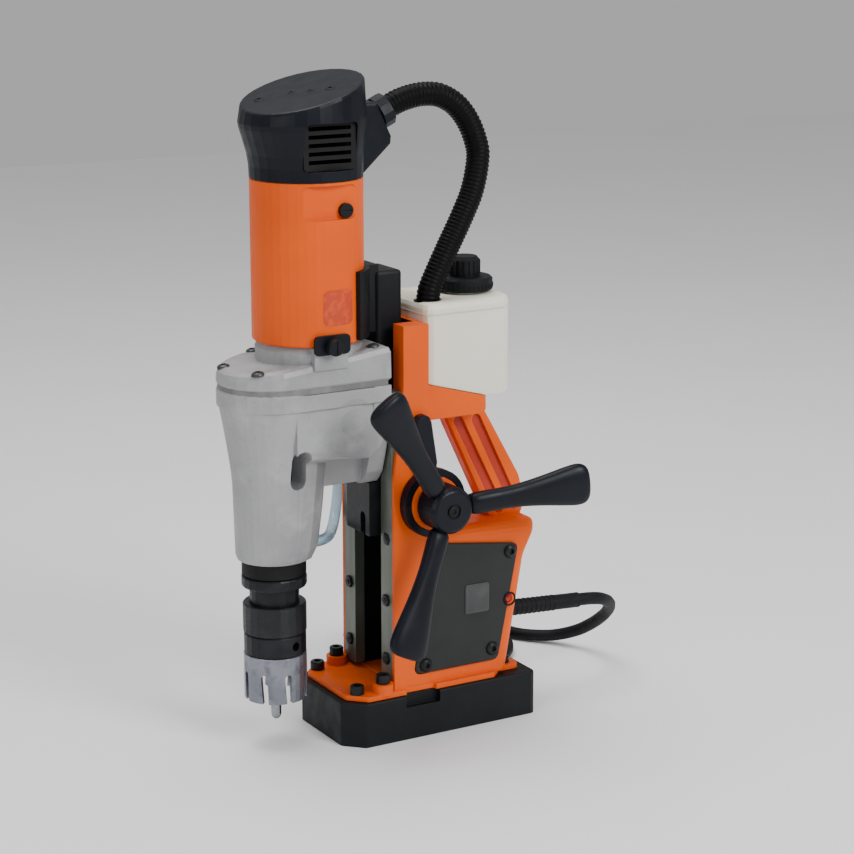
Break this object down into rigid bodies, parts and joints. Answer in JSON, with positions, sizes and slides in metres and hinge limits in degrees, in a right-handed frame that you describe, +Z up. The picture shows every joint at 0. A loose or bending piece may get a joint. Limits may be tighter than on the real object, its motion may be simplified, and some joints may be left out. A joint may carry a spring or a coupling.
{
  "type": "magnetic drill press",
  "caption": "Upright core drill on an electromagnet foot: a geared motor with an annular cutter slides on an orange column, fed by three levers, with a coolant tank and a carrying grip.",
  "frame": {"origin": "centre of the magnet foot's underside", "axes": "-X is the front, where the cutter works; +X is the rear, where the cord leaves; -Y is the side with the feed levers; +Z is up, along the slide"},
  "size_m": [0.4304, 0.3325, 0.5927],
  "materials": {
    "black_paint": "black powder coat",
    "orange_paint": "light alloy casting under an orange powder coat",
    "grey_alloy": "blasted cast alloy, clear coated",
    "dark_plastic": "fine grain moulded",
    "panel_grey": "satin dark grey",
    "gib_steel": "ground, oiled",
    "steel": "ground",
    "black_steel": "black oxide",
    "bronze": "turned",
    "resin": "cast resin over the winding",
    "tank_white": "cream, slightly translucent",
    "rubber": "matt black",
    "hose_blue": "pale translucent tube",
    "board_green": "lacquered board",
    "red_plastic": "moulded",
    "green_plastic": "moulded"
  },
  "bodies": {
    "stand": {"magnet_foot": "black_paint", "magnet_coil": "resin", "foot_bolt_front_right": "black_steel", "foot_bolt_front_left": "black_steel", "foot_bolt_column_right": "black_steel", "foot_bolt_column_left": "black_steel", "stand_casting": "orange_paint", "gib_right": "gib_steel", "gib_left": "gib_steel", "feed_bush_right": "bronze", "feed_bush_left": "bronze", "side_panel": "panel_grey", "control_plate": "dark_plastic", "power_lamp": "red_plastic", "control_board": "board_green", "coolant_tank": "tank_white", "drain_cock": "bronze", "conduit_gland_lower": "dark_plastic", "conduit_hose": "rubber", "coolant_hose": "hose_blue", "cord_strain_relief": "rubber", "mains_cord": "rubber", "cord_coil": "rubber", "mains_plug": "rubber"},
    "carriage": {"carriage_slide": "black_steel", "feed_rack": "steel", "slide_stop_block": "black_paint", "gearbox_housing": "grey_alloy", "gearbox_cover": "grey_alloy", "selector_plate": "dark_plastic", "spindle_bearing_lower": "steel", "spindle_bearing_upper": "steel", "motor_housing": "orange_paint", "brush_cap_right": "black_paint", "brush_cap_left": "black_paint", "field_stator": "black_steel", "motor_cap": "dark_plastic", "vent_grille_right": "black_paint", "vent_grille_left": "black_paint", "conduit_gland_upper": "dark_plastic", "coolant_fitting": "bronze"},
    "feed": {"feed_shaft": "steel", "feed_hub": "dark_plastic", "feed_lever_1": "dark_plastic", "feed_lever_2": "dark_plastic", "feed_lever_3": "dark_plastic"},
    "lock": {"slide_lock_lever": "dark_plastic"},
    "quill": {"spindle": "steel", "chuck_body": "black_steel", "annular_cutter": "steel"},
    "sleeve": {"chuck_sleeve": "black_steel"},
    "pilot": {"pilot_pin": "steel"},
    "rotor": {"armature": "steel"},
    "countershaft": {"layshaft": "steel"},
    "selector": {"gear_selector": "black_paint"},
    "filler_cap": {"tank_cap": "rubber"},
    "cock": {"cock_lever": "red_plastic"},
    "rocker": {"magnet_switch": "red_plastic"},
    "on_button": {"motor_on_button": "green_plastic"},
    "off_button": {"motor_off_button": "red_plastic"}
  },
  "joints": [
    {"name": "feed_slide", "type": "slide", "parent": "stand", "child": "carriage", "axis": [0, 0, 1], "range_m": [-0.09, 0.03], "deforming": ["conduit_hose", "coolant_hose"]},
    {"name": "feed_turn", "type": "hinge", "parent": "stand", "child": "feed", "pos_m": [-0.012, 0, 0.217], "axis": [0, 1, 0], "range_deg": [-493, 166]},
    {"name": "slide_lock_turn", "type": "hinge", "parent": "stand", "child": "lock", "pos_m": [-0.012, -0.0535, 0.217], "axis": [0, 1, 0], "range_deg": [-20, 35]},
    {"name": "armature_spin", "type": "hinge", "parent": "carriage", "child": "rotor", "pos_m": [-0.1059, 0, 0.42], "axis": [0, 0, 1], "continuous": true},
    {"name": "layshaft_spin", "type": "hinge", "parent": "carriage", "child": "countershaft", "pos_m": [-0.12116, 0.01654, 0.31], "axis": [0, 0, 1], "continuous": true},
    {"name": "spindle_spin", "type": "hinge", "parent": "carriage", "child": "quill", "pos_m": [-0.1425, 0, 0.2], "axis": [0, 0, 1], "continuous": true},
    {"name": "sleeve_slide", "type": "slide", "parent": "quill", "child": "sleeve", "axis": [0, 0, 1], "range_m": [0, 0.008], "stiffness_N_per_m": 500, "springref_m": -0.006},
    {"name": "pilot_slide", "type": "slide", "parent": "quill", "child": "pilot", "axis": [0, 0, 1], "range_m": [0, 0.024], "stiffness_N_per_m": 150, "springref_m": -0.02},
    {"name": "gear_selector_turn", "type": "hinge", "parent": "carriage", "child": "selector", "pos_m": [-0.109, -0.0488, 0.367], "axis": [0, 1, 0], "range_deg": [0, 90]},
    {"name": "filler_cap_lift", "type": "slide", "parent": "stand", "child": "filler_cap", "axis": [0, 0, 1], "range_m": [0, 0.03]},
    {"name": "drain_cock_turn", "type": "hinge", "parent": "stand", "child": "cock", "pos_m": [0.03, 0.0566, 0.316], "axis": [0, 1, 0], "range_deg": [0, 90]},
    {"name": "magnet_switch_rock", "type": "hinge", "parent": "stand", "child": "rocker", "pos_m": [0.0335, 0.046, 0.094], "axis": [1, 0, 0], "range_deg": [-7, 7]},
    {"name": "motor_on_press", "type": "slide", "parent": "stand", "child": "on_button", "axis": [0, -1, 0], "range_m": [0, 0.003], "stiffness_N_per_m": 300, "springref_m": -0.004},
    {"name": "motor_off_press", "type": "slide", "parent": "stand", "child": "off_button", "axis": [0, -1, 0], "range_m": [0, 0.003], "stiffness_N_per_m": 300, "springref_m": -0.004}
  ],
  "couplings": [
    {"joint": "feed_turn", "follows": "feed_slide", "rad_per_m": 95.238},
    {"joint": "layshaft_spin", "follows": "armature_spin", "ratio": -0.38462},
    {"joint": "spindle_spin", "follows": "armature_spin", "ratio": 0.19231}
  ]
}
